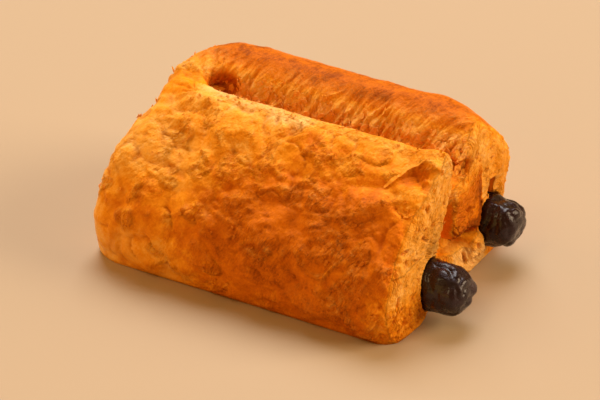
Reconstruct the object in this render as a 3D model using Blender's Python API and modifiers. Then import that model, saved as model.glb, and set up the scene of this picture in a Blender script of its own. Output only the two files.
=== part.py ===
"""Pain au chocolat: one folded sheet of laminated dough, baked round two chocolate batons.

Metres, +Z up. +X runs along the batons to the end where the chocolate swells out, -Y is the side of the
leaning front fold. The origin is on the resting face, under the middle of the whole pastry.
"""

import math

import bmesh
import bpy
from mathutils import Vector

MM = 0.001

# Driving dimensions, in millimetres.
DOUGH_LENGTH = 106.0
DOUGH_HEIGHT = 51.0
RIDGE_HEIGHT = 47.5  # the raised edge of the front fold, beside the groove
BATON_WIDTH = 12.0
BATON_HEIGHT = 12.6
BATON_TAPER = 0.82  # the plain end's thickness, next to the rest of the bar
TAPER_LENGTH = 1.5
BULB_SWELL = 1.3  # how much thicker the melted chocolate is at the open end
BULB_LENGTH = 17.0
BULB_ROUNDNESS = 0.6  # 0.5 is a true ellipse, and more is more pointed
TIP_SIZE = 0.35
FRONT_REACH = 13.5  # how far each bulb stands out of the dough
BACK_REACH = 10.5
END_LEAN = 10.0  # how far the left end slopes in from the surface to full height
CLEARANCE = 0.35

# Derived places, with y = 0 under the middle of the dough.
LEFT = -DOUGH_LENGTH / 2
RIGHT = DOUGH_LENGTH / 2
BELOW = -4.0  # the folds run below the resting face, which is then cut flat
FRONT_BATON = (-13.5, 11.0, FRONT_REACH)
BACK_BATON = (24.5, 13.0, BACK_REACH)
BATON_START = LEFT + 2.5  # the plain ends lie just inside the closed end of the dough

# Mesh fineness.
OUTLINE_STEPS = 4
VOXEL = 1.7
KEPT_FACES = 0.36
BATON_SIDES = 20
BULB_STEPS = 12

# Outlines across the length, as (y, z) in millimetres, anticlockwise seen from +X.
FRONT_FOLD = [
    (-31, BELOW), (-18, BELOW), (-9, 9), (-2.5, 19), (1, 30), (2.4, 38.5), (1.6, 45.5),
    (-3.5, RIDGE_HEIGHT), (-14, 42), (-26, 33), (-35.5, 21.5), (-38, 11), (-35.5, 1.5),
]
BACK_FOLD = [
    (9, BELOW), (34, BELOW), (39.5, 8), (41, 20), (39, 32), (32.5, 43), (22, DOUGH_HEIGHT),
    (14.5, 48.5), (10.5, 42), (9.2, 33), (9, 18), (9, 8),
]
BASE = [(-28, BELOW), (32, BELOW), (35, 2), (33, 11), (10, 14), (-8, 13), (-26, 9), (-30, 2)]
GROOVE_FLOOR = [(-10, 4), (14, 4), (14, 29), (6, 31), (0, 29), (-8, 17)]
INNER_CURL = [(9, 15), (17, 14), (20.5, 21), (20, 32), (16, 39), (11, 39), (8.4, 32), (7, 20)]
CURL_GAP = [(0, 12.5), (8, 10.6), (17, 11.8), (17.5, 13.6), (8, 13.8), (1, 15.5)]
GAP_DEPTH = 7.0
END_WEB = [(-20, BELOW), (28, BELOW), (30, 20), (23, 46.5), (10, 46), (-3, 44.5), (-14, 38)]

# What the baked dough has fused into one body. Each has its outline, its left and right ends, the rounding
# along X and the inset of each end, the (y, z) that both ends draw in towards, and the lift of its middle.
FOLDS = [
    (FRONT_FOLD, LEFT, RIGHT, (13, 8), (8.5, 5.5), (-12, 24), 0.0),
    (BACK_FOLD, LEFT + 3, RIGHT, (14, 9), (16, 8), (24, 10), 0.8),
    (BASE, LEFT + 8, RIGHT - 1.5, (6, 4), (4, 3), (0, 4), 0.0),
    (GROOVE_FLOOR, LEFT + 8, RIGHT - 9, (4, 2), (4, 2), (4, 16), 0.0),
    (INNER_CURL, RIGHT - 30, RIGHT - 1.5, (4, 2), (3, 1.5), (13, 26), 0.0),
    (END_WEB, LEFT, LEFT + 19, (12, 7), (5, 4), (3, 18), 0.0),
]


def smooth_outline(points):
    """The closed Catmull-Rom curve through the points, so that an outline needs only a few of them."""
    curve = []
    count = len(points)
    for i in range(count):
        a, b, c, d = (Vector(points[(i + k) % count]) for k in (-1, 0, 1, 2))
        for step in range(OUTLINE_STEPS):
            t = step / OUTLINE_STEPS
            curve.append(
                0.5 * (2 * b + (c - a) * t + (2 * a - 5 * b + 4 * c - d) * t**2
                       + (3 * b - a - 3 * c + d) * t**3)
            )
    return curve


def add_loft(mesh, rings):
    """A closed tube through rings of equal length, each a list of (x, y, z) in millimetres."""
    loops = [[mesh.verts.new(Vector(point) * MM) for point in ring] for ring in rings]
    count = len(loops[0])
    for near, far in zip(loops, loops[1:]):
        for i in range(count):
            j = (i + 1) % count
            mesh.faces.new((near[i], near[j], far[j], far[i]))
    mesh.faces.new(reversed(loops[0]))
    mesh.faces.new(loops[-1])


def shoulder(end, inward, rounding, inset, steps=5):
    """Stations (x, inset) round one end of a fold, from its face to where it has its full outline."""
    quarter = [math.pi / 2 * i / steps for i in range(steps + 1)]
    return [(end + inward * rounding * (1 - math.cos(a)), inset * (1 - math.sin(a))) for a in quarter]


def lean_in(x, z):
    """The left end slopes: the higher a point there, the further in it sits."""
    near_left = max(0.0, 1 - (x - LEFT) / (DOUGH_LENGTH / 2))
    height = max(0.0, z / RIDGE_HEIGHT)
    return x + END_LEAN * near_left**2 * height**1.6


def add_fold(mesh, points, left, right, left_end, right_end, centre, lift):
    """One fold of dough along X, as FOLDS describes it."""
    outline = smooth_outline(points)
    centre = Vector(centre)
    middle = [(left + (right - left) * k / 6, 0.0) for k in range(2, 5)]
    stations = (
        shoulder(left, 1, *left_end) + middle + shoulder(right, -1, *right_end)[::-1]
    )
    rings = []
    for x, inset in stations:
        raised = lift * math.sin(math.pi * (x - left) / (right - left))
        ring = []
        for point in outline:
            arm = point - centre
            drawn = centre + arm * (1 - inset / max(arm.length, inset + 1))
            height = drawn.y + raised * max(0.0, drawn.y) / DOUGH_HEIGHT
            ring.append((lean_in(x, height), drawn.x, height))
        rings.append(ring)
    add_loft(mesh, rings)


def new_object(name, mesh_data, collection):
    made = bpy.data.objects.new(name, mesh_data)
    collection.objects.link(made)
    return made


def closed_mesh(name, build):
    """A mesh from a function that adds closed shells to a bmesh, with its faces turned outwards."""
    shells = bmesh.new()
    build(shells)
    bmesh.ops.recalc_face_normals(shells, faces=shells.faces)
    data = bpy.data.meshes.new(name)
    shells.to_mesh(data)
    shells.free()
    return data


def dough_shells(mesh):
    for fold in FOLDS:
        add_fold(mesh, *fold)


def baton_rings(place, left, grow):
    """Rings of one baton from x = left, thickened by grow: a plain bar in the dough, a round bulb outside."""
    y, z, reach = place
    half = BULB_LENGTH / 2 + grow
    middle = RIGHT + reach - BULB_LENGTH / 2
    stations = [(left, BATON_TAPER), (left + TAPER_LENGTH, 1.0)]
    for step in range(BULB_STEPS):
        angle = math.pi * step / BULB_STEPS
        bulge = math.sin(angle) ** BULB_ROUNDNESS
        neck, tip = 1.0 + (BULB_SWELL - 1.0) * bulge, BULB_SWELL * bulge
        stations.append((middle - half * math.cos(angle), neck if angle < math.pi / 2 else tip))
    stations.append((middle + half, TIP_SIZE))
    rings = []
    for x, scale in stations:
        ring = []
        for side in range(BATON_SIDES):
            turn = 2 * math.pi * side / BATON_SIDES
            ring.append((
                x,
                y + (scale * BATON_WIDTH / 2 + grow) * math.cos(turn),
                z + (scale * BATON_HEIGHT / 2 + grow) * math.sin(turn),
            ))
        rings.append(ring)
    return rings


def cutter(name, data, collection):
    made = new_object(name, data, collection)
    made.hide_render = True
    made.display_type = "WIRE"
    return made


def floor_block(mesh):
    """Everything below the resting face."""
    reach, depth = 200 * MM, 20 * MM
    bmesh.ops.create_cube(mesh, size=1.0)
    bmesh.ops.scale(mesh, vec=(reach, reach, depth), verts=mesh.verts)
    bmesh.ops.translate(mesh, vec=(0, 0, -depth / 2), verts=mesh.verts)


def curl_gap(mesh):
    """The dark gap at the open end, between the inner curl and the base sheet below it."""
    outline = smooth_outline(CURL_GAP)
    add_loft(mesh, [[(x, p.x, p.y) for p in outline] for x in (RIGHT - GAP_DEPTH, RIGHT + GAP_DEPTH)])


def surface(name, colour, roughness):
    made = bpy.data.materials.new(name)
    made.use_nodes = True
    shader = made.node_tree.nodes["Principled BSDF"]
    shader.inputs["Base Color"].default_value = (*colour, 1.0)
    shader.inputs["Roughness"].default_value = roughness
    shader.inputs["Metallic"].default_value = 0.0
    return made


def make_dough(collection, cutters):
    dough = new_object("pastry_dough", closed_mesh("pastry_dough", dough_shells), collection)
    fuse = dough.modifiers.new("fuse_folds", "REMESH")
    fuse.mode = "VOXEL"
    fuse.voxel_size = VOXEL * MM
    soften = dough.modifiers.new("soften", "SMOOTH")
    soften.factor = 0.5
    soften.iterations = 5
    thin = dough.modifiers.new("fewer_faces", "DECIMATE")
    thin.ratio = KEPT_FACES
    for block in cutters:
        cut = dough.modifiers.new("cut_" + block.name, "BOOLEAN")
        cut.operation = "DIFFERENCE"
        cut.object = block
    dough.data.materials.append(surface("golden_crust", (0.62, 0.27, 0.05), 0.45))
    return dough


def make_baton(name, place, material, collection):
    baton = new_object(
        name,
        closed_mesh(name, lambda mesh: add_loft(mesh, baton_rings(place, BATON_START, 0.0))),
        collection,
    )
    baton.data.materials.append(material)
    baton.data.shade_smooth()
    return baton


def centre_on_origin(objects):
    """Puts the middle of the whole pastry over the origin, with its resting face at z = 0."""
    bpy.context.view_layer.update()
    graph = bpy.context.evaluated_depsgraph_get()
    corners = [Vector(c) for made in objects for c in made.evaluated_get(graph).bound_box]
    for axis in range(2):
        places = [corner[axis] for corner in corners]
        for made in objects:
            made.location[axis] -= (min(places) + max(places)) / 2
    return objects[0].location.copy()


def main():
    for old in list(bpy.data.objects):
        bpy.data.objects.remove(old)
    parts = bpy.data.collections.new("pain_au_chocolat")
    tools = bpy.data.collections.new("cutters")
    bpy.context.scene.collection.children.link(parts)
    bpy.context.scene.collection.children.link(tools)

    blocks = [
        cutter("below_floor", closed_mesh("below_floor", floor_block), tools),
        cutter("below_curl", closed_mesh("below_curl", curl_gap), tools),
    ]
    for name, place in (("front_bore", FRONT_BATON), ("back_bore", BACK_BATON)):
        bore = closed_mesh(name, lambda mesh: add_loft(mesh, baton_rings(place, LEFT - 5, CLEARANCE)))
        blocks.append(cutter(name, bore, tools))

    dough = make_dough(parts, blocks)
    chocolate = surface("dark_chocolate", (0.045, 0.018, 0.010), 0.3)
    front = make_baton("front_chocolate_baton", FRONT_BATON, chocolate, parts)
    back = make_baton("back_chocolate_baton", BACK_BATON, chocolate, parts)
    shift = centre_on_origin([dough, front, back])
    for block in blocks:
        block.location = shift


main()
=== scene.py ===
"""A pain au chocolat: one folded sheet of laminated dough, baked round two bars of dark chocolate.

The ends of the dough and the lines of the bars come from the frame's boxes. Sculpting is worked out in
millimetres: +X is the open end where the chocolate swells out, -Y is the leaning front fold, +Z is up.
"""

import math
import random

import bpy
import numpy as np
from mathutils import Matrix, Vector, kdtree, noise


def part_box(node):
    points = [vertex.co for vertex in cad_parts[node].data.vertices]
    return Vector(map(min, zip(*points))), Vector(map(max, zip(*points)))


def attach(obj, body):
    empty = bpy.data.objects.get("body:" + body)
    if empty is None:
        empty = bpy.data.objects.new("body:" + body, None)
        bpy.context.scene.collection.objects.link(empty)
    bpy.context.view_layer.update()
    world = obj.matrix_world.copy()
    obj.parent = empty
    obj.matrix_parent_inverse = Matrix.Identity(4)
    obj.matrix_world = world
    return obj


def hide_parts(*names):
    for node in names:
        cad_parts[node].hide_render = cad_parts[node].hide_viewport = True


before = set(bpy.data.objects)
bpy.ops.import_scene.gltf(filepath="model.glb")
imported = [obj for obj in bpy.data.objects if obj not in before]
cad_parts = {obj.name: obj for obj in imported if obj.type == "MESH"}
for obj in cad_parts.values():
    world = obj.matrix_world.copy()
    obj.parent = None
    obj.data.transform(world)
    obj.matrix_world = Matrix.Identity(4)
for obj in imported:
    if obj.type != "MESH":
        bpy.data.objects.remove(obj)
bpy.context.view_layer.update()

# ---------------------------------------------------------------------------------------------------------
# Baked dough. A sheet of laminated dough, egg-washed and folded in from the front and the back until the two
# folds meet at a groove. Baking fuses the folds, blisters the crust, tears it into flakes and opens the
# layers at the cut ends.
# ---------------------------------------------------------------------------------------------------------
MM = 0.001
FACE_SIZE = 0.73
FLAKE_COUNT = 720
SKIN_DEPTH = 1.3  # one baked layer at a cut end, with the gap to the next
FOLD_RADIUS = 26.0  # from the middle of a fold to its crust
BAR_ROOM = 8.6  # no crust is sculpted nearer a bar's line; the mouths still lap 0.6 mm into the bars
noise.seed_set(4)  # fixes the swirls, so every run gives the same crust

dough_low, dough_high = (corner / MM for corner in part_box("pastry_dough"))
left_end, right_end = dough_low.x, dough_high.x
front_bar_low, front_bar_high = (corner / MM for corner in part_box("front_chocolate_baton"))
back_bar_low, back_bar_high = (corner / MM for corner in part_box("back_chocolate_baton"))
front_bar_middle = (front_bar_low + front_bar_high) / 2
back_bar_middle = (back_bar_low + back_bar_high) / 2


def only(piece):
    """Makes a piece the only selected one, and the active one."""
    bpy.ops.object.select_all(action="DESELECT")
    piece.select_set(True)
    bpy.context.view_layer.objects.active = piece


def start_from(node, name):
    """A new piece that starts as a merged copy of a frame node's mesh."""
    piece = bpy.data.objects.new(name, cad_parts[node].data.copy())
    bpy.context.scene.collection.objects.link(piece)
    piece.data.materials.clear()
    only(piece)
    bpy.ops.object.mode_set(mode="EDIT")
    bpy.ops.mesh.select_all(action="SELECT")
    bpy.ops.mesh.remove_doubles(threshold=0.001 * MM)
    bpy.ops.object.mode_set(mode="OBJECT")
    return piece


def finish_with(piece, kind, **settings):
    """Adds a modifier to a piece and applies it."""
    only(piece)
    modifier = piece.modifiers.new(kind.lower(), kind)
    for name, value in settings.items():
        setattr(modifier, name, value)
    bpy.ops.object.modifier_apply(modifier=modifier.name)


def spots(piece):
    """The places of a piece's points in millimetres, and the way the surface faces at each."""
    count = len(piece.data.vertices)
    places, facing = np.empty(count * 3), np.empty(count * 3)
    piece.data.vertices.foreach_get("co", places)
    piece.data.vertex_normals.foreach_get("vector", facing)
    return places.reshape(-1, 3) / MM, facing.reshape(-1, 3)


def move_spots(piece, places):
    piece.data.vertices.foreach_set("co", (places * MM).ravel())
    piece.data.update()


def edit_faces(piece, chosen, operator, **settings):
    """Runs an edit-mode operator on the faces that chosen(places) picks by the places of their middles."""
    only(piece)
    faces = piece.data.polygons
    middles = np.empty(len(faces) * 3)
    faces.foreach_get("center", middles)
    bpy.context.tool_settings.mesh_select_mode = (False, False, True)
    bpy.ops.object.mode_set(mode="EDIT")
    bpy.ops.mesh.select_all(action="DESELECT")
    bpy.ops.object.mode_set(mode="OBJECT")
    faces.foreach_set("select", chosen(middles.reshape(-1, 3) / MM))
    bpy.ops.object.mode_set(mode="EDIT")
    operator(**settings)
    bpy.ops.object.mode_set(mode="OBJECT")


def ramp(values, low, high):
    """0 at low and 1 at high, with a soft start and end. It falls instead where low is above high."""
    t = np.clip((values - low) / (high - low), 0, 1)
    return t * t * (3 - 2 * t)


def lumps(places, size, seed, octaves=1):
    """Smooth noise from about -1 to 1, with lumps of this size in millimetres, or (x, y, z) sizes."""
    steps = (places / np.array(size) + seed * 17.3).tolist()
    if octaves == 1:
        return np.array([noise.noise(step) for step in steps])
    return np.array([noise.fractal(step, 1.0, 2.0, octaves) for step in steps])


def stirred(places, size, reach, seed):
    """The places pushed about by up to this reach, in swirls of this size."""
    steps = (places / size + seed * 7.1).tolist()
    return places + reach * np.array([noise.noise_vector(step) for step in steps])


def near(places, centre, reach):
    """1 at a place, falling softly to 0 at this reach from it, in millimetres or as (x, y, z) reaches."""
    gap = np.linalg.norm((places - np.array(centre)) / np.array(reach), axis=1)
    return np.clip(1 - gap * gap, 0, 1) ** 2


def beside_bars(places, width):
    """True within this radius of either chocolate bar's line."""
    found = False
    for bar in (front_bar_middle, back_bar_middle):
        found = found | (np.hypot(places[:, 1] - bar.y, places[:, 2] - bar.z) < width)
    return found


def flat_spots(across, along):
    """Points on a flat sheet, for noise that follows a fold round instead of running through it."""
    return np.stack([across, along, np.zeros_like(across)], axis=1)


def finder(points, indexes):
    """A tree that finds the nearest of the chosen points."""
    tree = kdtree.KDTree(len(indexes))
    for index in indexes:
        tree.insert(points[index], int(index))
    tree.balance()
    return tree


def rounded_block(low, high, rounding):
    """A block between two corners in millimetres, with rounded edges."""
    low, high = Vector(low), Vector(high)
    bpy.ops.object.select_all(action="DESELECT")
    bpy.ops.mesh.primitive_cube_add(size=MM, location=(low + high) / 2 * MM, scale=high - low)
    block = bpy.context.object
    bpy.ops.object.transform_apply(location=True, rotation=True, scale=True)
    bpy.ops.object.mode_set(mode="EDIT")
    bpy.ops.mesh.select_all(action="SELECT")
    bpy.ops.mesh.bevel(offset=rounding * MM, segments=4)
    bpy.ops.object.mode_set(mode="OBJECT")
    return block


def carve(piece, block):
    """Cuts a block out of a piece, and removes the block."""
    finish_with(piece, "BOOLEAN", operation="DIFFERENCE", object=block)
    bpy.data.objects.remove(block)


# The inner curl of the sheet fills the groove at the open end, and the base rolls up beside the back bar.
dough = start_from("pastry_dough", "baked_dough")
inner_curl = rounded_block((right_end - 18, -0.2, 16.0), (right_end + 0.2, 17.0, 35.5), 3.0)
base_roll = rounded_block((right_end - 10, 9.0, 5.0), (right_end + 1.6, 16.2, 13.6), 2.6)
only(dough)
inner_curl.select_set(True)
base_roll.select_set(True)
bpy.ops.object.join()
finish_with(dough, "REMESH", mode="VOXEL", voxel_size=FACE_SIZE * MM)

# Creases between the layers at the open end: right of the curl, under the curl, and over the back bar.
carve(dough, rounded_block((right_end - 5, 17.0, 19.5), (right_end + 5, 18.6, 33.0), 0.7))
carve(dough, rounded_block((right_end - 8, -3.0, 13.2), (right_end + 5, 13.6, 15.7), 0.9))
carve(dough, rounded_block((right_end - 4, 21.4, 20.0), (right_end + 5, 23.4, 27.5), 0.8))
finish_with(dough, "REMESH", mode="VOXEL", voxel_size=FACE_SIZE * MM)
finish_with(dough, "SMOOTH", factor=0.5, iterations=8)
places, facing = spots(dough)
places[(places[:, 2] < 0.6) & (facing[:, 2] < -0.6), 2] = 0.0
move_spots(dough, places)


# Which faces each step of the meshing works on, by the places of their middles.
def in_bore(p):
    return beside_bars(p, 7.0) & (p[:, 0] < right_end - 9)


def under_base(p):
    return p[:, 2] < 0.01


def plain_back(p):
    return (p[:, 1] > 26) & (p[:, 2] < 41) & (p[:, 0] < right_end - 8)


def front_end_face(p):
    at_end = (p[:, 0] > right_end - 7) & (p[:, 1] < -4)
    return at_end & (p[:, 2] > 1.5) & (p[:, 2] < 43) & ~beside_bars(p, BAR_ROOM)


def fine_work(p):
    """The cut layers of the open end, and the ridge and wall beside the groove."""
    cut_layers = (p[:, 0] > right_end - 6) & (p[:, 1] < 24) & (p[:, 2] > 1.5) & ~beside_bars(p, 7.2)
    return cut_layers | ((p[:, 2] > 39) & (p[:, 1] > -7) & (p[:, 1] < 16) & (p[:, 0] > left_end + 10))


# Plain crust needs few faces, the end of the front fold is baked round, and the fine work gets more faces.
edit_faces(dough, in_bore, bpy.ops.mesh.decimate, ratio=0.05)
edit_faces(dough, under_base, bpy.ops.mesh.decimate, ratio=0.02)
edit_faces(dough, plain_back, bpy.ops.mesh.decimate, ratio=0.3)
edit_faces(dough, front_end_face, bpy.ops.mesh.vertices_smooth, factor=0.5, repeat=16)
edit_faces(dough, fine_work, bpy.ops.mesh.subdivide, number_cuts=1, smoothness=0)

# Each pull draws the dough out round a place, as (place, reach, pull).
pulls = [
    ((right_end - 3, -1.5, 46), 9, (1.2, 0.6, 2.4)),  # the front fold's corner stands up as a small ear
    ((right_end - 2, -13, 40), 8, (0.7, -0.8, 0.7)),  # and swells below it
    ((left_end + 13, 12, 47), 12, (-0.8, 0.5, 1.2)),  # the shoulder over the closed end
    ((left_end + 11, 3, 43), 15, (-2.4, 0.0, 1.6)),
    ((left_end + 13, -7, 46), 8, (0.8, 0.6, -0.9)),
    ((right_end - 2, 30, 32), 17, (1.7, 1.0, 0.0)),  # the back fold's end bulges
    ((left_end + 9.5, -24, 38), 17, (-3.3, -1.0, 1.8)),  # the front fold's closed end is full
    ((left_end + 6.0, -29, 27), 13, (-2.0, -1.0, 0.2)),
    ((right_end, -19.0, 9.0), 13, (2.0, 0.0, 0.0)),  # the dough swells round both bulbs
    ((right_end, 19.5, 12.0), 11, (1.6, 0.0, 0.0)),
]
places, facing = spots(dough)
for middle, reach, pull in pulls:
    places += np.outer(near(places, middle, reach), pull)
move_spots(dough, places)

# Broad swellings, left by steam under the crust.
places, facing = spots(dough)
x, y, z = places.T
above_base = ramp(z, 0.2, 2.5)
clear_of_bars = 1 - beside_bars(places, BAR_ROOM)
broad = 0.8 * lumps(places, 24, 1) + 0.45 * lumps(places, 12, 2) - 0.25
places += facing * (broad * above_base * clear_of_bars)[:, None]
move_spots(dough, places)

# Where each kind of surface is.
places, facing = spots(dough)
x, y, z = places.T
open_end = ramp(facing[:, 0], 0.35, 0.8) * ramp(x, right_end - 9, right_end - 3)
cut_edge = (
    ramp(y, -7.6, -5.2)
    * ramp(y, 1.6, 0.6)
    * ramp(z, 42.5, 44.5)
    * ramp(x, left_end + 24, left_end + 30)
    * ramp(x, right_end + 0.5, right_end - 2)
)
pale_edge = (
    ramp(y + 3.2 * lumps(places, 7, 36), -11.0, -5.5)
    * ramp(y, 1.6, 0.6)
    * ramp(z, 41, 44)
    * ramp(x, left_end + 18, left_end + 26)
    * (0.3 + 0.7 * ramp(x, 14, -8))
)
wall = ramp(y, 3.0, 6.5) * ramp(y, 24, 16) * ramp(z, 22, 34) * (1 - open_end)
front = ramp(y, -5.2, -7.6) * (1 - open_end)
upper_left = ramp(x, 12, -25) * ramp(z, 16, 34)

# The crust of the front fold: soft blisters with creases between them, and winding seams where it has
# crumbled into small puffs, drawn out up the fold and to the right.
swirled = stirred(places, 10, 3.5, 3)
big_blisters = np.abs(lumps(swirled, 14, 8))
small_blisters = np.abs(lumps(swirled, 6.0, 9))
seams = ramp(np.abs(lumps(swirled, 20, 26) + 0.3 * lumps(places, 4.5, 27)), 0.17, 0.02)
seams *= ramp(lumps(places, 9, 32), -0.15, 0.2)
seams = np.maximum(seams, ramp(lumps(swirled, 10, 31), 0.22, 0.42))
up_fold = np.arctan2(z - 20, -12 - y) * FOLD_RADIUS
drawn_places = flat_spots(0.89 * x - 0.45 * up_fold, 0.45 * x + 0.89 * up_fold)
small_puffs = 0.75 * np.abs(lumps(drawn_places, (1.15, 1.9, 1), 7))
puffs = np.abs(lumps(drawn_places, (2.3, 3.4, 1), 6)) + small_puffs - 0.36
crumbly_seams = seams * (0.35 + 0.65 * ramp(lumps(places, 13, 5), -0.3, 0.2))
crumbly_left = 0.25 * upper_left * ramp(lumps(places, 11, 4), -0.2, 0.3)
crumbly = np.clip(crumbly_seams + crumbly_left, 0, 1)

# Thin leaves of crust overlap: each rises slowly and ends at a small step.
leaf_steps = 3.2 * lumps(drawn_places, (9, 15, 1), 37, 2)
leaf_rise = leaf_steps - np.floor(leaf_steps)
leaf_edges = leaf_rise * ramp(leaf_rise, 1.0, 0.86)
pits = ramp(lumps(places, 5.2, 28), 0.34, 0.62)
cracks = ramp(np.abs(lumps(stirred(places, 5, 2.0, 9), 13, 33)), 0.05, 0.0)
cracks *= ramp(lumps(places, 8, 34), 0.0, 0.25)

# A long soft crease runs down the front near the closed end.
crease_line = left_end + 13.5 + 1.2 * lumps(places, 9, 24)
side_crease = ramp(np.abs(x - crease_line), 1.8, 0.2) * ramp(z, 2, 8) * ramp(z, 31, 24)
calm_low_left = 0.6 * ramp(x, -8, -30) * ramp(z, 30, 18)
calm = np.clip(ramp(lumps(places, 15, 38), -0.1, 0.25) + calm_low_left, 0, 1) * (1 - crumbly)
front_relief = (
    3.0 * (big_blisters - 0.2)
    + 1.4 * (small_blisters - 0.2) * (1 - 0.5 * calm)
    + 0.3 * seams
    + (0.5 * (1 - 0.7 * calm) + 0.7 * crumbly) * puffs
    + 0.6 * leaf_edges * (1 - 0.75 * calm) * ramp(x, left_end + 12, left_end + 20)
    - 0.6 * pits
    - 0.9 * cracks
    - 0.7 * side_crease
)

# The wall of the back fold is drawn into feathery pleats that climb to the right.
climb = np.arctan2(z - 20, 22.5 - y) * FOLD_RADIUS
pleat_places = flat_spots(0.81 * x - 0.58 * climb, 0.58 * x + 0.81 * climb)
pleat_places[:, 0] += lumps(pleat_places, (7, 9, 1), 10) * 1.6
pleats = 1 - np.abs(lumps(pleat_places, (2.1, 9, 1), 11)) * 2.2
fine_pleats = 1 - np.abs(lumps(pleat_places, (0.95, 5, 1), 12)) * 2.2
pleat_strength = wall * ramp(z, 51.5, 47) * (0.55 + 0.45 * ramp(lumps(places, 9, 13), -0.3, 0.3))
tufts = ramp(z, 48, 41) * wall * np.abs(lumps(pleat_places, (2.6, 3.6, 1), 30))
wall_relief = (1.1 * pleats + 0.35 * fine_pleats) * pleat_strength + 3.0 * tufts

# At the open end the layers stand on edge, parallel to the crust, with gaps and pores between them.
side_on = places * (0, 1, 1)
behind_end = (x > right_end - 12) & (x < right_end - 8) & (np.abs(facing[:, 0]) < 0.4)
skin = finder(side_on, np.nonzero(behind_end)[0])
depth = np.zeros(len(places))
for index in np.nonzero(open_end > 0.01)[0]:
    depth[index] = skin.find(side_on[index])[2]
wavering = depth + 2.2 * lumps(places, 9, 14) + 0.9 * lumps(places, 3.0, 15)
layer_phase = wavering / SKIN_DEPTH
layer_gap = np.abs(layer_phase - np.round(layer_phase)) * 2  # 0 in a gap, 1 on a layer
broken = ramp(lumps(places, 5, 16, 2), -0.05, 0.3)
layers = -0.5 * ramp(layer_gap, 0.5, 0.0) * broken * ramp(depth, 0.3, 1.5)
around = np.arctan2(z - 22, y + 12) * 20
pore_places = flat_spots(wavering, around)
pores = ramp(lumps(pore_places, (1.5, 3.6, 1), 17), 0.34, 0.6) * ramp(depth, 1.5, 3)
end_lumps = 0.5 * lumps(places, 3, 18) + 0.7 * np.abs(lumps(places, (3, 2.2, 1.3), 29)) - 0.2
end_relief = layers - 1.1 * pores + end_lumps

# The raw edge of the sheet along the ridge is cut through all its layers, so it is porous.
strip_relief = 0.35 * (np.abs(lumps(places, (2.6, 1.3, 1.3), 19)) - 0.3) - 0.45 * ramp(
    lumps(places, (1.6, 1.0, 1.0), 20), 0.3, 0.6
)

# The closed end is gathered in fine wrinkles, and pleats run into the pit where the groove starts.
pit = np.array((left_end + 21.5, 4.5, 43.0))
round_pit = np.arctan2(z - pit[2] + (y - pit[1]) * 0.4, x - pit[0])
from_pit = np.linalg.norm(places - pit, axis=1)
gathers = np.abs(np.sin(round_pit * 9 + 1.3 * lumps(places, 4, 21))) - 0.4
gather_strength = ramp(from_pit, 19, 8) * ramp(from_pit, 1.5, 4)
gather_strength *= ramp(x, pit[0] + 5, pit[0] - 3) * ramp(z, 34, 40)
wrinkle_places = flat_spots(x, np.arctan2(z - 22, -y) * 30)
wrinkles = np.abs(lumps(wrinkle_places, (1.8, 7, 1), 22)) - 0.25
wrinkle_strength = ramp(x, left_end + 20, left_end + 6) * (1 - gather_strength)

rest = 1 - np.clip(front + cut_edge + open_end + wall, 0, 1)
plain_relief = 0.9 * (big_blisters - 0.2) + 0.4 * (small_blisters - 0.2) + 0.4 * puffs * crumbly
relief = (
    front * front_relief * (0.45 + 0.55 * ramp(x, left_end + 2, left_end + 14))
    + cut_edge * strip_relief
    + open_end * end_relief
    + wall_relief
    + (rest + wall * 0.6) * plain_relief
    + 0.5 * wrinkles * wrinkle_strength
    + 1.0 * gathers * gather_strength
)
sculpted = above_base * clear_of_bars * (1 - 0.9 * ramp(z, 3, 0))
places += facing * (relief * sculpted)[:, None]

# A blister has torn open near the ear: a sharp lip above a shallow red-brown pocket.
tear_line = np.array(
    [(31.5, -17.5, 41), (34.5, -13.2, 43.5), (37.0, -9.6, 45.5), (39.8, -6.6, 46.7), (42.6, -6.4, 46.3)]
)
down_fold = np.array((0.62, -0.68, -0.4))
off_fold = np.array((0.35, -0.5, 0.79))
tear_side = np.full(len(places), 9.0)
tear_gap = np.full(len(places), 9.0)
for start, end in zip(tear_line, tear_line[1:]):
    run = end - start
    share = np.clip(((places - start) @ run) / (run @ run), 0, 1)
    away = places - (start + share[:, None] * run)
    gap = np.linalg.norm(away, axis=1)
    down = away @ down_fold
    closer = gap < tear_gap
    tear_side[closer], tear_gap[closer] = down[closer], gap[closer]
pocket_middle = (39.0, -11.4, 44.0)
pocket = near(places, pocket_middle, (7.0, 7.0, 6.0)) * ramp(tear_side, -0.2, 0.35) * ramp(y, -19, -14)
pocket_bumps = 1.0 - 0.8 * np.abs(lumps(places, 3.4, 35))
places -= facing * (2.3 * pocket * pocket_bumps * above_base)[:, None]
lip = ramp(tear_gap, 1.1, 0.2) * ramp(tear_side, 0.4, -0.1)
places += facing * (0.5 * lip)[:, None]

# The lip of the tear is a thin flap of crust, fixed along its upper side and curled up over the pocket.
surface = finder(places, range(len(places)))
bpy.ops.object.select_all(action="DESELECT")
bpy.ops.mesh.primitive_grid_add(x_subdivisions=28, y_subdivisions=5, size=2.0 * MM)
flap = bpy.context.object
flap.name = "torn_flap"
flap_places = spots(flap)[0]
last_step = len(tear_line) - 1
line_share = np.clip((flap_places[:, 0] + 1) / 2, 0, 1) * last_step
across_share = np.clip((flap_places[:, 1] + 1) / 2, 0, 1)
for index, (share, across) in enumerate(zip(line_share, across_share)):
    step = min(int(share), last_step - 1)
    on_line = tear_line[step] + (share - step) * (tear_line[step + 1] - tear_line[step])
    on_crust = np.mean([found[0] for found in surface.find_n(on_line, 24)], axis=0)
    middle = math.sin(math.pi * share / last_step)
    ragged = 1 + 0.35 * noise.noise((share * 4, across, 3.0))
    reach = (across * 2.2 - 1.5) * (0.35 + 0.65 * middle) * ragged
    flap_places[index] = on_crust + down_fold * reach + off_fold * (0.1 + 0.45 * across**1.5 * middle)
move_spots(flap, flap_places)
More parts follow.
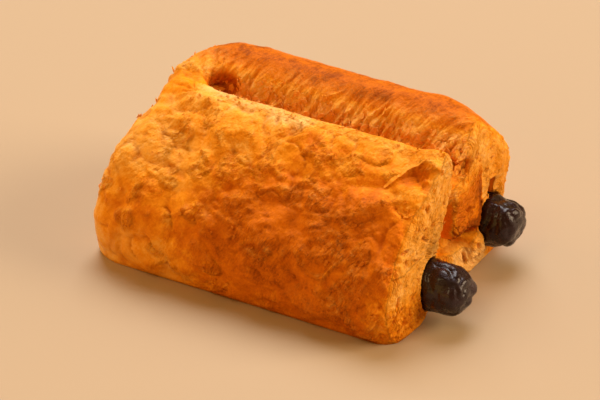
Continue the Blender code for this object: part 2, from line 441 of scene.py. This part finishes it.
finish_with(flap, "SOLIDIFY", thickness=0.25 * MM, offset=0.0)

# Two hollows: the notch behind the ear, and the pit where the groove starts.
hollows = (
    2.6 * near(places, (right_end - 2, 8.5, 38.0), (6, 4.5, 3.0))
    + 5.2 * near(places, (left_end + 22, 7.0, 43), (7.5, 5.0, 7))
)
places -= facing * (hollows * clear_of_bars)[:, None]

# The crust keeps within 1.8 mm of the dough's own width at the front.
too_far = np.clip(dough_low.y - 0.6 - places[:, 1], 0, None)
places[:, 1] += too_far - 1.2 * np.tanh(too_far / 1.2)
move_spots(dough, places)

# How baked each part is: 0 is pale crumb, 1 is dark brown crust. Painted shade and painted light are added
# in too, where marked below.
crest = ramp(z + 9 * ramp(y, 18, 32), 44, 50) * ramp(y, 6.5, 14)
curl = (
    ramp(x, right_end - 14, right_end - 7)
    * ramp(y, 0.5, 2.5)
    * ramp(y, 17.8, 16.6)
    * ramp(z, 13.5, 16)
    * ramp(z, 38, 28)
)
closed_rim = ramp(x, left_end + 5.5, left_end + 2.5)
side_band = ramp(np.abs(x - crease_line + 3.5), 4.2, 1.5) * ramp(z, 3, 8) * ramp(z, 26, 17) * front
lip_of_base = ramp(z, 14, 9) * ramp(y, -3, 2) * ramp(y, 24, 19) * ramp(x, right_end - 9, right_end - 4)
browning_and_painted_light = (
    0.52
    + 0.34 * crest
    # painted shade: the notch behind the ear and the pit are darkened
    + 0.5 * np.clip(hollows / 2.5, 0, 1)
    + 0.10 * ramp(z, 34, 24) * front
    # paler towards the bottom of the front fold: partly its own golden colour, partly painted fill light
    - 0.16 * ramp(z, 20, 8) * front
    # a painted highlight: the upper left of the front fold is paler
    - 0.18 * upper_left * front
    - 0.46 * pale_edge
    - 0.27 * open_end * ramp(z, 9, 16)
    + 0.10 * open_end * ramp(y, 18, 24)
    + (0.46 + 0.40 * ramp(y, 13.6, 16.0) + 0.45 * ramp(z, 21, 17)) * curl
    + 0.16 * side_band
    - 0.22 * closed_rim
    - 0.50 * lip_of_base * (1 - curl)
    + 0.62 * pocket
    - 0.10 * wrinkle_strength
    # the pleated wall is paler: partly its own crumb, partly painted light where light falls on it
    - 0.29 * wall * (1 - crest)
)
browning_and_painted_light += front * (
    0.22 * (big_blisters - 0.2)
    + 0.14 * (small_blisters - 0.2)
    + (0.27 + 0.11 * ramp(z, 14, 24)) * ramp(z, 44, 31) * ramp(x, -34, -5)
    - 0.12 * ramp(x, -12, -32) * ramp(z, 28, 16)
    # a painted highlight along the front fold's right edge, next to the open end
    - 0.24 * ramp(x, right_end - 13, right_end - 4)
)
browning_and_painted_light = np.where(front > 0.5, np.minimum(browning_and_painted_light, 0.80), browning_and_painted_light)

# Raised crumbs and pleat ridges are paler: their own pale crumb with a painted highlight. Sunk seams, pores,
# layer gaps and pleat troughs are darker, partly their own colour and partly painted shade; the hollows are
# darker with painted shade.
raised = 0.5 * np.clip((puffs * 2.2 + 0.25) * crumbly * front, 0, 1)
raised = np.maximum(raised, np.clip(pleats * 0.6 + fine_pleats * 0.4, 0, 1) * pleat_strength)
between_puffs = ramp(-puffs, 0.1, 0.3) * crumbly
between_blisters = ramp(big_blisters, 0.07, 0.0) * (1 - seams)
sunk = front * np.clip(0.9 * cracks + 0.7 * pits + 0.4 * between_puffs + 0.6 * between_blisters, 0, 1)
sunk = np.maximum(sunk, open_end * np.clip(pores + ramp(layer_gap, 0.4, 0.0) * broken * 0.6, 0, 1))
sunk = np.maximum(sunk, np.clip(-pleats, 0, 1) * pleat_strength)
# painted shade in the hollows
sunk = np.maximum(sunk, np.clip(hollows / 1.6, 0, 1))


def keep(piece, name, values):
    """Stores one number for each point of a piece, for its material to read."""
    layer = piece.data.attributes.new(name, "FLOAT", "POINT")
    layer.data.foreach_set("value", np.clip(values, 0, 60).astype(np.float32))


def keep_grain(piece, values):
    """Stores the way the layers are drawn out at each point: across them and along them, in millimetres."""
    layer = piece.data.attributes.new("grain", "FLOAT_VECTOR", "POINT")
    layer.data.foreach_set("vector", values.astype(np.float32).ravel())


keep(dough, "browning_and_painted_light", browning_and_painted_light)
keep(dough, "raised", raised)
keep(dough, "sunk", sunk)
keep(dough, "cut_end", np.clip(open_end + cut_edge, 0, 1))
keep(dough, "depth", wavering)
rough_crumb = (crumbly + 0.25 - 0.35 * calm) * front + wall + 0.7 * cut_edge + 0.6 * open_end
keep(dough, "crumbly", np.clip(rough_crumb, 0, 1) * (1 - 0.75 * crest))
grain = np.where((y > 3.0)[:, None], pleat_places, drawn_places)
on_end = open_end > 0.5
grain[on_end] = pore_places[on_end] * (1.0, 2.0, 1.0)
grain[:, 2] = x * 0.1
keep_grain(dough, grain)
dough.data.shade_smooth()

# Thin shards of crust stand loose on the seams, on the pleated wall and round the pit. Each is one small
# curved leaf, baked on at one side and lifted at the other.
places, facing = spots(dough)
bpy.ops.object.select_all(action="DESELECT")
bpy.ops.mesh.primitive_circle_add(vertices=6, radius=MM, fill_type="TRIFAN")
shard = bpy.context.object
corners, _ = spots(shard)
corners[:, 0] *= 0.45 + 0.12 * np.sin(corners[:, 1] * 3)
corners[:, 2] = 0.28 * corners[:, 1] ** 2 + 0.5 * corners[:, 0] ** 2
move_spots(shard, corners)
finish_with(shard, "SOLIDIFY", thickness=0.13 * MM, offset=0.0)

flaky = (
    crumbly * front
    + 0.9 * wall * ramp(z, 49, 43)
    + 0.12 * open_end * ramp(y, 24, 20)
    + 0.2 * cut_edge
    + 0.15 * curl
    - 0.9 * near(places, pit, 9)
)
flaky = np.clip(flaky, 0, 1) * above_base * clear_of_bars * (places[:, 2] > 4)
pick = random.Random(7)
flakes = []
for anchor in pick.choices(range(len(places)), weights=flaky.tolist(), k=FLAKE_COUNT):
    up = Vector(facing[anchor]).normalized()
    lengthwise = Vector((0.45, 0.1, 1.0)) if y[anchor] < 2 else Vector((0.58, 0.5, 0.81))
    lengthwise += Vector((pick.uniform(-0.6, 0.6), pick.uniform(-0.3, 0.3), pick.uniform(-0.4, 0.4)))
    across = lengthwise.cross(up).normalized()
    lengthwise = up.cross(across)
    turned = Matrix((across, lengthwise, up)).transposed().to_4x4()
    lifted = Matrix.Rotation(math.radians(pick.uniform(5, 32)), 4, "X")
    long = pick.uniform(0.45, 1.2) * (1.0 + 0.6 * float(wall[anchor]))
    sized = Matrix.Diagonal((long * pick.uniform(0.6, 1.2), long, pick.uniform(0.6, 1.4), 1.0))
    flake = shard.copy()
    flake.matrix_world = Matrix.Translation(Vector(places[anchor]) * MM) @ turned @ lifted @ sized
    bpy.context.scene.collection.objects.link(flake)
    flakes.append(flake)
bpy.data.objects.remove(shard)
bpy.ops.object.select_all(action="DESELECT")
for flake in flakes:
    flake.select_set(True)
bpy.context.view_layer.objects.active = flakes[0]
bpy.ops.object.make_single_user(object=True, obdata=True)
bpy.ops.object.join()
flakes = bpy.context.object
bpy.ops.object.transform_apply(location=True, rotation=True, scale=True)
flap.select_set(True)
bpy.ops.object.join()

# The shards and the flap take their browning, with its painted shade and painted light, from the crust below
# them, and are joined to it. The shards also mix in the pale crumb colour, partly a painted highlight.
crust_points = finder(places, range(len(places)))
flake_places = spots(flakes)[0]
below = np.array([crust_points.find(place)[1] for place in flake_places])
on_flap = np.linalg.norm(flake_places - np.array(pocket_middle), axis=1) < 11
keep(flakes, "browning_and_painted_light", np.where(on_flap, 0.45, browning_and_painted_light[below] - 0.06 - 0.16 * wall[below]))
keep(flakes, "raised", np.where(on_flap, 0.25, 0.25 + 0.5 * wall[below]))
keep(flakes, "sunk", np.zeros(len(below)))
keep(flakes, "cut_end", np.zeros(len(below)))
keep(flakes, "depth", np.zeros(len(below)))
keep(flakes, "crumbly", np.full(len(below), 0.4))
keep_grain(flakes, grain[below])
only(dough)
flakes.select_set(True)
bpy.ops.object.join()


class Finish:
    """A material on the Principled shader, with short calls for the nodes that it is made of."""

    def __init__(self, name):
        self.material = bpy.data.materials.new(name)
        self.material.use_nodes = True
        self.tree = self.material.node_tree
        self.shader = self.tree.nodes["Principled BSDF"]
        self.place = self.node("ShaderNodeMapping")
        self.place.inputs["Scale"].default_value = (1 / MM,) * 3
        self.join(self.node("ShaderNodeTexCoord").outputs["Object"], self.place.inputs["Vector"])

    def node(self, kind, **settings):
        made = self.tree.nodes.new(kind)
        for name, value in settings.items():
            setattr(made, name, value)
        return made

    def join(self, source, target):
        self.tree.links.new(source, target)

    def put(self, socket, value):
        """Gives a socket a number, a colour or another socket's output."""
        if isinstance(value, bpy.types.NodeSocket):
            self.join(value, socket)
        else:
            socket.default_value = value

    def stored(self, name):
        return self.node("ShaderNodeAttribute", attribute_name=name).outputs["Fac"]

    def drawn(self, across, along, detail=3.0, rough=0.55):
        """Noise from 0 to 1 that follows the stored grain, with these widths in millimetres."""
        made, turned = self.node("ShaderNodeTexNoise"), self.node("ShaderNodeMapping")
        turned.inputs["Scale"].default_value = (1 / across, 1 / along, 1.0)
        grain_node = self.node("ShaderNodeAttribute", attribute_name="grain")
        self.join(grain_node.outputs["Vector"], turned.inputs["Vector"])
        self.join(turned.outputs[0], made.inputs["Vector"])
        made.inputs["Scale"].default_value = 1.0
        made.inputs["Detail"].default_value = detail
        made.inputs["Roughness"].default_value = rough
        return made.outputs["Fac"]

    def math(self, operation, *values):
        made = self.node("ShaderNodeMath", operation=operation)
        for socket, value in zip(made.inputs, values):
            self.put(socket, value)
        return made.outputs[0]

    def add(self, base, pattern, amount):
        """Adds a pattern, times an amount, to a base value."""
        return self.math("MULTIPLY_ADD", pattern, amount, base)

    def vary(self, base, pattern, amount):
        """Adds a pattern that is counted from its middle value, times an amount, to a base value."""
        return self.add(base, self.math("SUBTRACT", pattern, 0.5), amount)

    def lumpy(self, size, detail=3.0, rough=0.55, swirl=0.0):
        """Noise from 0 to 1 with lumps of this size in millimetres."""
        made = self.node("ShaderNodeTexNoise")
        self.join(self.place.outputs[0], made.inputs["Vector"])
        made.inputs["Scale"].default_value = 1 / size
        made.inputs["Detail"].default_value = detail
        made.inputs["Roughness"].default_value = rough
        made.inputs["Distortion"].default_value = swirl
        return made.outputs["Fac"]

    def between(self, value, low, high, start=0.0, end=1.0):
        """Maps low to start and high to end, and stays between them."""
        made = self.node("ShaderNodeMapRange", interpolation_type="SMOOTHSTEP")
        names = ("Value", "From Min", "From Max", "To Min", "To Max")
        for name, setting in zip(names, (value, low, high, start, end)):
            self.put(made.inputs[name], setting)
        return made.outputs["Result"]

    def shades(self, value, stops):
        """A colour for each value, from (value, colour) stops."""
        made = self.node("ShaderNodeValToRGB")
        self.join(value, made.inputs["Fac"])
        ramp_stops = made.color_ramp.elements
        while len(ramp_stops) < len(stops):
            ramp_stops.new(1.0)
        for stop, (position, colour) in zip(ramp_stops, stops):
            stop.position = position
            stop.color = (*colour, 1.0)
        return made.outputs["Color"]

    def mix(self, share, first, second):
        made = self.node("ShaderNodeMix", data_type="RGBA")
        self.put(made.inputs[0], share)
        self.put(made.inputs[6], first)
        self.put(made.inputs[7], second)
        return made.outputs[2]

    def bumps(self, height, deep):
        """A bump that is this many millimetres deep."""
        made = self.node("ShaderNodeBump")
        made.inputs["Strength"].default_value = 1.0
        made.inputs["Distance"].default_value = deep * MM
        self.join(height, made.inputs["Height"])
        self.join(made.outputs["Normal"], self.shader.inputs["Normal"])


CRUST_SHADES = [
    (0.0, (0.97, 0.53, 0.17)),  # pale crumb
    (0.22, (0.95, 0.42, 0.06)),
    (0.45, (0.88, 0.30, 0.010)),  # golden crust
    (0.66, (0.70, 0.175, 0.002)),
    (0.85, (0.57, 0.128, 0.0015)),
    # the darkest shade is also the painted shade in the hollows
    (1.0, (0.33, 0.067, 0.001)),  # well-baked edges
]
# the pale crumb colour, also a painted highlight on raised crumbs and pleat ridges
CRUMB_AND_HIGHLIGHT_COLOUR = (0.97, 0.45, 0.085, 1.0)
# the dark of sunk places, partly their own colour and partly painted shade
SUNK_AND_SHADE_COLOUR = (0.52, 0.11, 0.002, 1.0)
LAYER_LINE_COLOUR = (0.44, 0.125, 0.006, 1.0)

crust = Finish("golden_crust")
stains = crust.lumpy(15, 3)
patches = crust.lumpy(4.0, 5, 0.55, 0.2)
flecks = crust.lumpy(0.85, 5, 0.6)
fibres = crust.drawn(0.55, 1.7, 4)
fine_folds = crust.drawn(1.3, 5.0, 3)
crumb_share = crust.stored("crumbly")
leaves = crust.math("FRACT", crust.math("MULTIPLY", crust.drawn(2.2, 4.2, 2), 7.0))
leaf_share = crust.math("MULTIPLY_ADD", crumb_share, 0.8, 0.15)

# The colour: how baked the place is, with painted shade and painted light in it, then pale crumbs, partly a
# painted highlight, dark seams, partly painted shade, and thin lines between the cut layers.
# baked starts from the stored browning, painted shade and painted light included, and adds tone that varies
# at random
baked = crust.vary(crust.stored("browning_and_painted_light"), stains, 0.30)
baked = crust.vary(baked, patches, 0.62)
baked = crust.vary(baked, flecks, 0.38)
baked = crust.vary(baked, leaves, crust.math("MULTIPLY", leaf_share, -0.15))
baked = crust.vary(baked, fibres, crust.math("MULTIPLY_ADD", crumb_share, -0.6, -0.2))
colour = crust.shades(baked, CRUST_SHADES)
pale_crumbs_and_highlights = crust.math("MULTIPLY", crust.stored("raised"), crust.between(flecks, 0.35, 0.65, 0.15, 0.85))
colour = crust.mix(pale_crumbs_and_highlights, colour, CRUMB_AND_HIGHLIGHT_COLOUR)
colour = crust.mix(crust.math("MULTIPLY", crust.stored("sunk"), 0.6), colour, SUNK_AND_SHADE_COLOUR)
lines = crust.math("FRACT", crust.math("DIVIDE", crust.stored("depth"), 0.62))
line_share = crust.math("MULTIPLY", crust.stored("cut_end"), crust.between(patches, 0.42, 0.6))
lines = crust.math("MULTIPLY", crust.between(lines, 0.3, 0.0), line_share)
colour = crust.mix(crust.math("MULTIPLY", lines, 0.2), colour, LAYER_LINE_COLOUR)
crust.join(colour, crust.shader.inputs["Base Color"])

crust.put(crust.shader.inputs["Roughness"], crust.between(baked, 0.25, 0.9, 0.40, 0.60))
crust.shader.inputs["IOR"].default_value = 1.15
crust.shader.inputs["Specular IOR Level"].default_value = 0.45
crust.shader.inputs["Coat Weight"].default_value = 0.02
crust.shader.inputs["Coat Roughness"].default_value = 0.35

# The fine relief, which is roughest where the crust has crumbled.
rough_share = crust.math("MULTIPLY_ADD", crumb_share, 0.42, 0.13)
height = crust.add(crust.math("MULTIPLY", flecks, rough_share), patches, 0.55)
height = crust.add(height, crust.math("MULTIPLY", fibres, rough_share), 0.9)
height = crust.add(height, crust.math("MULTIPLY", leaves, leaf_share), 0.12)
height = crust.add(height, crust.math("MULTIPLY", fine_folds, crumb_share), 0.6)
height = crust.add(height, lines, -0.25)
crust.bumps(height, 1.4)
dough.data.materials.append(crust.material)

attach(dough, "root")
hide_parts("pastry_dough")

# ---------------------------------------------------------------------------------------------------------
# Chocolate bars. Each is a moulded bar of dark chocolate laid in the fold. It stays whole in the dough, and
# its free end has melted, swelled into a bulb and set again with a wrinkled skin.
# ---------------------------------------------------------------------------------------------------------
CHOCOLATE_SHADES = [
    (0.3, (0.007, 0.0025, 0.004)),
    (0.62, (0.016, 0.005, 0.008)),
    (0.8, (0.035, 0.013, 0.017)),
]
BAR_FACE_SIZE = 0.42

chocolate = Finish("dark_chocolate")
smears = chocolate.lumpy(2.2, 5, 0.6, 0.5)
bloom = chocolate.lumpy(5.0, 3)
chocolate.join(chocolate.shades(bloom, CHOCOLATE_SHADES), chocolate.shader.inputs["Base Color"])
chocolate.put(chocolate.shader.inputs["Roughness"], chocolate.between(smears, 0.35, 0.65, 0.12, 0.36))
chocolate.shader.inputs["Specular IOR Level"].default_value = 0.25
chocolate.shader.inputs["Specular Tint"].default_value = (1.0, 0.8, 0.88, 1.0)
chocolate.shader.inputs["Coat Weight"].default_value = 0.3
chocolate.shader.inputs["Coat Roughness"].default_value = 0.07
chocolate.bumps(chocolate.add(chocolate.math("MULTIPLY", chocolate.lumpy(0.7, 4), 0.2), smears, 1.0), 0.35)

for node, name, seed in (
    ("front_chocolate_baton", "front_chocolate_bar", 31),
    ("back_chocolate_baton", "back_chocolate_bar", 41),
):
    bar = start_from(node, name)
    finish_with(bar, "REMESH", mode="VOXEL", voxel_size=BAR_FACE_SIZE * MM)
    finish_with(bar, "SMOOTH", factor=0.5, iterations=10)
    places, facing = spots(bar)
    bulb = ramp(places[:, 0], right_end + 0.3, right_end + 2.5)
    creases = np.abs(lumps(places, 5.0, seed)) * 1.3 + np.abs(lumps(places, 1.9, seed + 1)) * 0.22
    facets = lumps(places, 9.5, seed + 2) * 1.1
    places += facing * (bulb * (creases + facets - 0.75))[:, None]
    move_spots(bar, places)
    bar.data.shade_smooth()
    bar.data.materials.append(chocolate.material)
    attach(bar, "root")
    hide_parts(node)

# ---------------------------------------------------------------------------------------------------------
# Studio. A plain pale floor, a large soft key light high behind the left end, four warm fills that stand
# for the light that comes back off the floor and the room, and the camera.
# ---------------------------------------------------------------------------------------------------------
FLOOR_COLOUR = (0.455, 0.338, 0.236, 1.0)
ROOM_COLOUR = (1.0, 0.50, 0.09, 1.0)
SOFTBOXES = [  # name, azimuth, elevation, distance, size, power, colour
    ("key", 212, 58, 3.0, 1.9, 97.0, (0.97, 1.0, 1.0)),
    ("front_fill", 345, 58, 3.0, 0.7, 8.0, (1.0, 0.80, 0.40)),
    ("low_fill", 350, 14, 3.0, 2.6, 24.0, (1.0, 0.64, 0.17)),
    ("right_fill", 116, 27, 3.0, 1.8, 88.0, (1.0, 0.82, 0.54)),
    ("left_fill", 285, 30, 3.0, 2.0, 18.0, (1.0, 0.68, 0.27)),
]
CAMERA_AZIMUTH, CAMERA_ELEVATION, CAMERA_DISTANCE, CAMERA_LENS = 29.8, 31, 1.10, 220

bpy.ops.mesh.primitive_plane_add(size=8.0, location=(0, 0, 0))
floor = bpy.context.object
floor.name = "floor"
paper = bpy.data.materials.new("pale_paper")
paper.use_nodes = True
paper.node_tree.nodes["Principled BSDF"].inputs["Base Color"].default_value = FLOOR_COLOUR
paper.node_tree.nodes["Principled BSDF"].inputs["Roughness"].default_value = 0.9
floor.data.materials.append(paper)

room = bpy.data.worlds.new("studio")
bpy.context.scene.world = room
room.use_nodes = True
room.node_tree.nodes["Background"].inputs["Color"].default_value = ROOM_COLOUR
room.node_tree.nodes["Background"].inputs["Strength"].default_value = 0.34


def towards(azimuth, elevation):
    """The way from the pastry to a light or the camera. Azimuth 0 is on the -Y side, 90 on the +X."""
    turn, lift = math.radians(azimuth), math.radians(elevation)
    return Vector((math.sin(turn) * math.cos(lift), -math.cos(turn) * math.cos(lift), math.sin(lift)))


for name, azimuth, elevation, distance, size, power, tint in SOFTBOXES:
    light = bpy.data.lights.new(name, "AREA")
    light.size = size
    light.energy = power
    light.color = tint
    lamp = bpy.data.objects.new(name, light)
    lamp.location = towards(azimuth, elevation) * distance
    lamp.rotation_euler = towards(azimuth, elevation).to_track_quat("Z", "Y").to_euler()
    bpy.context.scene.collection.objects.link(lamp)

look_at = Vector((-6.3, 0.0, 16.0)) * MM
back_off = towards(CAMERA_AZIMUTH, CAMERA_ELEVATION)
camera_data = bpy.data.cameras.new("camera")
camera_data.lens = CAMERA_LENS
camera = bpy.data.objects.new("camera", camera_data)
camera.location = look_at + back_off * CAMERA_DISTANCE
camera.rotation_euler = back_off.to_track_quat("Z", "Y").to_euler()
bpy.context.scene.collection.objects.link(camera)
bpy.context.scene.camera = camera
bpy.context.scene.view_settings.view_transform = "Standard"
